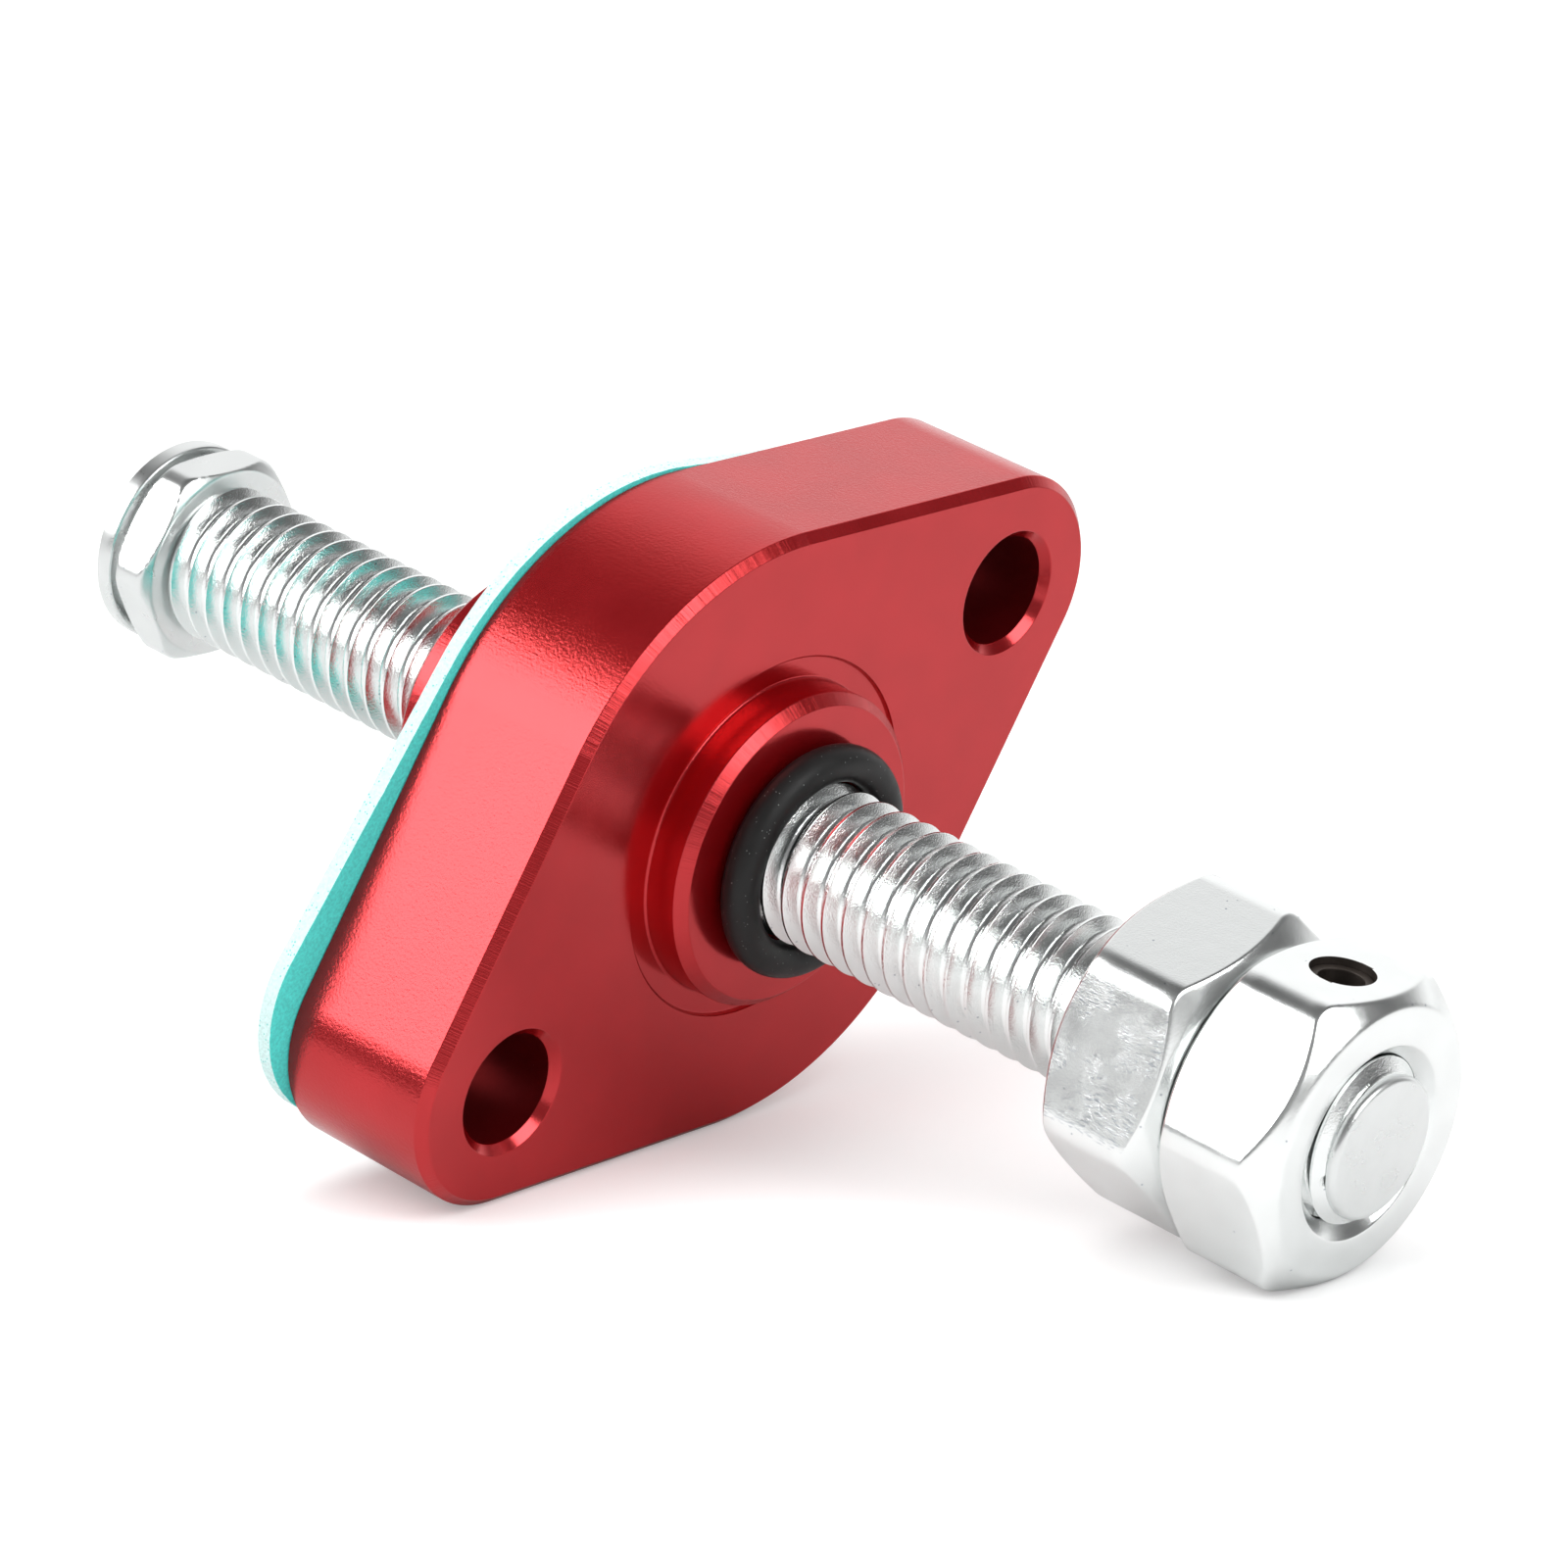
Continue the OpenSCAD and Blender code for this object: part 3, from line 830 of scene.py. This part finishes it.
nutSize = {
    "flats": 13.9, "long": 6.5, "faceR": 6.4, "cornerR": 7.875, "boreR": 4.0, "mouth": 0.65, "sides": 288,
    "corner": 0.9, "soften": 0.15, "flatTo": 5.4, "steps": 44,
}
lockNut = {"x": 31.7, "turn": 75.5, "innerSlope": 34, "outerSlope": 34, "innerBlend": 0.1, "outerBlend": 0.12}
endNut = {"x": 38.3, "turn": 57, "innerSlope": 34, "outerSlope": 42, "innerBlend": 0.1, "outerBlend": 0.2}
crossHole = {"x": 41.55, "r": 1.52}


def bevelFall(radius, slope, blend):
    # How far a nut's end has fallen back at this radius
    fall = (radius - nutSize["faceR"]) * math.tan(math.radians(slope))
    return max(fall, 0) + max(blend - abs(fall), 0) ** 2 / (4 * blend)


def makeNut(name, place):
    n = nutSize
    start, end = place["x"], place["x"] + n["long"]
    low, steps = n["flatTo"], n["steps"]
    radii = [low + (n["cornerR"] - low) * k / steps for k in range(steps + 1)]
    mouth = [(n["mouth"], n["boreR"]), (0.08, n["boreR"] + n["mouth"] - 0.07),
             (0.02, n["boreR"] + n["mouth"]), (0.0, n["boreR"] + n["mouth"] + 0.08)]
    ring = [(start + x, r) for x, r in mouth]
    ring += [(start + bevelFall(r, place["innerSlope"], place["innerBlend"]), r) for r in radii]
    inner = ring[-1][0]
    outer = [(end - bevelFall(r, place["outerSlope"], place["outerBlend"]), r) for r in reversed(radii)]
    ring += [(inner + (outer[0][0] - inner) * k / 6, n["cornerR"]) for k in range(1, 6)]
    ring += outer + [(end - x, r) for x, r in reversed(mouth)] + ring[:1]
    nut = turnRound(name, ring, n["sides"])
    roundHexagon(nut, n["flats"], n["corner"], n["soften"])
    moveRound(nut, place["turn"])
    return nut


def makeNuts():
    lock = makeNut("lockNutForged", lockNut)
    smoothPiece(lock, 40, False)
    # Only the flat towards the left is scuffed
    wornTurn = math.radians(lockNut["turn"] + 60)
    worn = Vector((0, -math.sin(wornTurn), math.cos(wornTurn)))
    for face in lock.data.polygons:
        face.material_index = 1 if face.normal.dot(worn) > 0.97 else 0
    finishPiece(lock, "lock_nut", [zincNut, zincScuffed], ["lock_nut"])
    end = makeNut("endNutForged", endNut)
    startFresh()
    bpy.ops.mesh.primitive_cylinder_add(vertices=72, radius=crossHole["r"], depth=20,
                                        location=(crossHole["x"], 0, 0))
    drill = bpy.context.object
    bpy.ops.object.transform_apply(location=True, rotation=True, scale=True)
    moveRound(drill, endNut["turn"])
    combine(end, drill, "DIFFERENCE")
    smoothPiece(end, 40, False)
    turn = math.radians(endNut["turn"])
    drilled = Vector((0, -math.sin(turn), math.cos(turn)))
    # Painted shade: the walls of the cross hole take the dark pin steel, standing in for the shade inside the
    # hole
    for face in end.data.polygons:
        away = face.center - Vector((crossHole["x"], 0, 0))
        away -= drilled * away.dot(drilled)
        face.material_index = 1 if away.length < crossHole["r"] + 0.01 else 0
    finishPiece(end, "bolt", [zincNut, pinSteelAndHoleShade], ["end_nut"])
    print("nuts done", len(lock.data.polygons), len(end.data.polygons))


makeNuts()

# Rolled pin in the end nut's cross hole

rolledPin = {"r": 1.5, "wall": 0.45, "long": 13.2, "slitAngle": 19, "edgeRound": 0.07}


def makePin():
    p = rolledPin
    startFresh()
    bpy.ops.mesh.primitive_plane_add(size=1, location=(p["r"] - p["wall"] / 2, 0, 0),
                                     rotation=(math.pi / 2, 0, 0))
    pin = bpy.context.object
    pin.name = "rolledPin"
    pin.scale = (p["wall"], p["long"], 1)
    bpy.ops.object.transform_apply(location=True, rotation=True, scale=True)
    bpy.ops.object.mode_set(mode="EDIT")
    bpy.ops.mesh.select_all(action="SELECT")
    bpy.ops.mesh.spin(steps=60, angle=math.radians(360 - p["slitAngle"]), center=(0, 0, 0), axis=(0, 0, 1))
    bpy.ops.mesh.select_all(action="SELECT")
    bpy.ops.mesh.remove_doubles(threshold=0.0005)
    bpy.ops.mesh.normals_make_consistent(inside=False)
    bpy.ops.object.mode_set(mode="OBJECT")
    softenEdges(pin, p["edgeRound"], 2, 50)
    smoothPiece(pin, 40)
    pin.data.transform(Matrix.Translation((crossHole["x"], 0, 0)))
    moveRound(pin, endNut["turn"])
    finishPiece(pin, "bolt", [pinSteelAndHoleShade], ["spring_pin"])


makePin()
print("pin done")

# Floor, light and camera

# The part lies on the lower straight side of its flange and on the end nut
up = Vector((-0.22422619, -0.8267632, 0.51593142)).normalized()
floorDepth = -0.0167116
cameraPlace = Vector((0.19246, -0.22777, -0.12755))
cameraRight = Vector((0.7309, 0.2251, 0.6443)).normalized()
cameraBack = Vector((0.5765, -0.7089, -0.4063))
cameraBack = (cameraBack - cameraRight * cameraBack.dot(cameraRight)).normalized()
cameraUp = cameraBack.cross(cameraRight)
stageRight = (cameraRight - up * cameraRight.dot(up)).normalized()
stageAway = up.cross(stageRight)
middle = Vector((0.009, 0, 0))

light = {
    "tentDark": 0.12, "backWall": 1.0, "frontWall": 0.15, "horizon": 0.2, "worldFill": 0.62,
    "floorColour": 0.80, "floorInGloss": 0.80, "floorShadeNearViewer": 0.3, "floorGlow": 0.30,
    "lamps": [
        # name, azimuth from straight back to the right, height, distance, width, height, brightness,
        # whether it lights gloss, whether it lights matt surfaces
        ("leftBox", -102, 31, 0.62, 0.50, 0.36, 4.2, True, False),
        ("frontFill", -125, 55, 0.62, 0.50, 0.50, 2.2, False, True),
        ("rightFill", 120, 45, 0.62, 0.40, 0.40, 1.9, False, True),
        ("rightBox", 132, 29, 0.62, 0.40, 0.30, 3.8, True, False),
        ("topBox", 0, 85, 0.70, 0.50, 0.50, 1.2, False, True),
    ],
}


def stagePoint(right, away, above):
    return middle + stageRight * right + stageAway * away + up * above


def makeFloor():
    startFresh()
    bpy.ops.mesh.primitive_plane_add(size=6)
    floor = bpy.context.object
    floor.name = "paleFloor"
    turn = Matrix((stageRight, stageAway, up)).transposed().to_4x4()
    floor.matrix_world = Matrix.Translation(up * floorDepth) @ turn
    material, tree, shader = startMaterial("paleFloor")
    tree.nodes.remove(shader)
    output = tree.nodes["Material Output"]
    matt = addNode(tree, "ShaderNodeBsdfDiffuse")
    glow = addNode(tree, "ShaderNodeEmission")
    glow.inputs["Color"].default_value = (1, 1, 1, 1)
    path = addNode(tree, "ShaderNodeLightPath")
    inGloss = math2(tree, "MAXIMUM", path.outputs["Is Glossy Ray"], path.outputs["Is Transmission Ray"])
    # Painted shade: in reflections the floor is painted darker towards the viewer
    parts = addNode(tree, "ShaderNodeSeparateXYZ")
    tree.links.new(addNode(tree, "ShaderNodeTexCoord").outputs["Object"], parts.inputs[0])
    tone = mapRange(tree, parts.outputs[1], -0.3, -0.1, light["floorShadeNearViewer"], light["floorInGloss"])
    change = math2(tree, "SUBTRACT", tone, light["floorColour"])
    tree.links.new(math2(tree, "MULTIPLY_ADD", change, inGloss, light["floorColour"]), matt.inputs["Color"])
    seen = math2(tree, "MULTIPLY", path.outputs["Is Camera Ray"], light["floorGlow"])
    tree.links.new(seen, glow.inputs["Strength"])
    both = addNode(tree, "ShaderNodeAddShader")
    tree.links.new(matt.outputs[0], both.inputs[0])
    tree.links.new(glow.outputs[0], both.inputs[1])
    clear = addNode(tree, "ShaderNodeBsdfTransparent")
    oneSided = addNode(tree, "ShaderNodeMixShader")
    facing = addNode(tree, "ShaderNodeNewGeometry")
    tree.links.new(facing.outputs["Backfacing"], oneSided.inputs[0])
    tree.links.new(both.outputs[0], oneSided.inputs[1])
    tree.links.new(clear.outputs[0], oneSided.inputs[2])
    tree.links.new(oneSided.outputs[0], output.inputs["Surface"])
    floor.data.materials.append(material)


def makeLamps():
    for name, azimuth, height, distance, width, tall, brightness, gloss, matt in light["lamps"]:
        lamp = bpy.data.lights.new(name, "AREA")
        lamp.shape = "RECTANGLE"
        lamp.size, lamp.size_y = width, tall
        lamp.energy = 4 * width * tall * brightness
        holder = bpy.data.objects.new(name, lamp)
        bpy.context.scene.collection.objects.link(holder)
        turn, rise = math.radians(azimuth), math.radians(height)
        level = distance * math.cos(rise)
        place = stagePoint(level * math.sin(turn), level * math.cos(turn), distance * math.sin(rise))
        aside = (stageRight * math.cos(turn) - stageAway * math.sin(turn)).normalized()
        out = (place - middle).normalized()
        axes = Matrix((aside, out.cross(aside), out)).transposed().to_4x4()
        holder.matrix_world = Matrix.Translation(place) @ axes
        holder.visible_glossy = gloss
        holder.visible_diffuse = matt


def makeWorld():
    world = bpy.data.worlds.new("whiteTent")
    bpy.context.scene.world = world
    world.use_nodes = True
    tree = world.node_tree
    background = tree.nodes["Background"]
    path = addNode(tree, "ShaderNodeLightPath")
    place = addNode(tree, "ShaderNodeTexCoord")

    def along(direction):
        node = addNode(tree, "ShaderNodeVectorMath", operation="DOT_PRODUCT")
        tree.links.new(place.outputs["Generated"], node.inputs[0])
        node.inputs[1].default_value = direction
        return node.outputs["Value"]

    # The tent is bright behind the part, dim above and to the right, and paler again towards the viewer
    back = mapRange(tree, along(stageAway), 0.2, 0.6, 0.0, light["backWall"])
    leftTop = mapRange(tree, along((up * 0.436 - stageRight * 0.9).normalized()), 0.42, 0.75, 1.0, 0.15)
    back = math2(tree, "MULTIPLY", back, leftTop)
    facing = mapRange(tree, along(-stageAway), 0.3, 0.95, 0.0, 1.0)
    front = math2(tree, "MULTIPLY", facing, light["frontWall"])
    low = mapRange(tree, math2(tree, "ABSOLUTE", along(up)), 0.0, 0.3, light["horizon"], 0.0)
    low = math2(tree, "MULTIPLY", low, math2(tree, "MULTIPLY_ADD", facing, -0.85, 1.0))
    gap = mapRange(tree, along((stageRight * 0.97 + up * 0.22).normalized()), 0.75, 0.95, 1.0, 0.1)
    tent = math2(tree, "MULTIPLY_ADD", math2(tree, "ADD", back, low), gap, front)
    tent = math2(tree, "ADD", tent, light["tentDark"])
    glossy = math2(tree, "MAXIMUM", path.outputs["Is Glossy Ray"], path.outputs["Is Transmission Ray"])
    shade = addNode(tree, "ShaderNodeMix", data_type="FLOAT")
    tree.links.new(glossy, shade.inputs["Factor"])
    shade.inputs[2].default_value = light["worldFill"]
    tree.links.new(tent, shade.inputs[3])
    white = addNode(tree, "ShaderNodeMix", data_type="FLOAT")
    tree.links.new(path.outputs["Is Camera Ray"], white.inputs["Factor"])
    tree.links.new(shade.outputs[0], white.inputs[2])
    white.inputs[3].default_value = 1
    background.inputs["Color"].default_value = (1, 1, 1, 1)
    tree.links.new(white.outputs[0], background.inputs["Strength"])


def makeCamera():
    camera = bpy.data.cameras.new("camera")
    camera.sensor_fit = "HORIZONTAL"
    camera.sensor_width = 36
    camera.lens = 157.4
    camera.clip_start, camera.clip_end = 0.01, 20
    holder = bpy.data.objects.new("camera", camera)
    bpy.context.scene.collection.objects.link(holder)
    turn = Matrix((cameraRight, cameraUp, cameraBack)).transposed().to_4x4()
    holder.matrix_world = Matrix.Translation(cameraPlace) @ turn
    bpy.context.scene.camera = holder


makeFloor()
makeLamps()
makeWorld()
makeCamera()
bpy.context.scene.view_settings.view_transform = "Standard"
print("stage done")
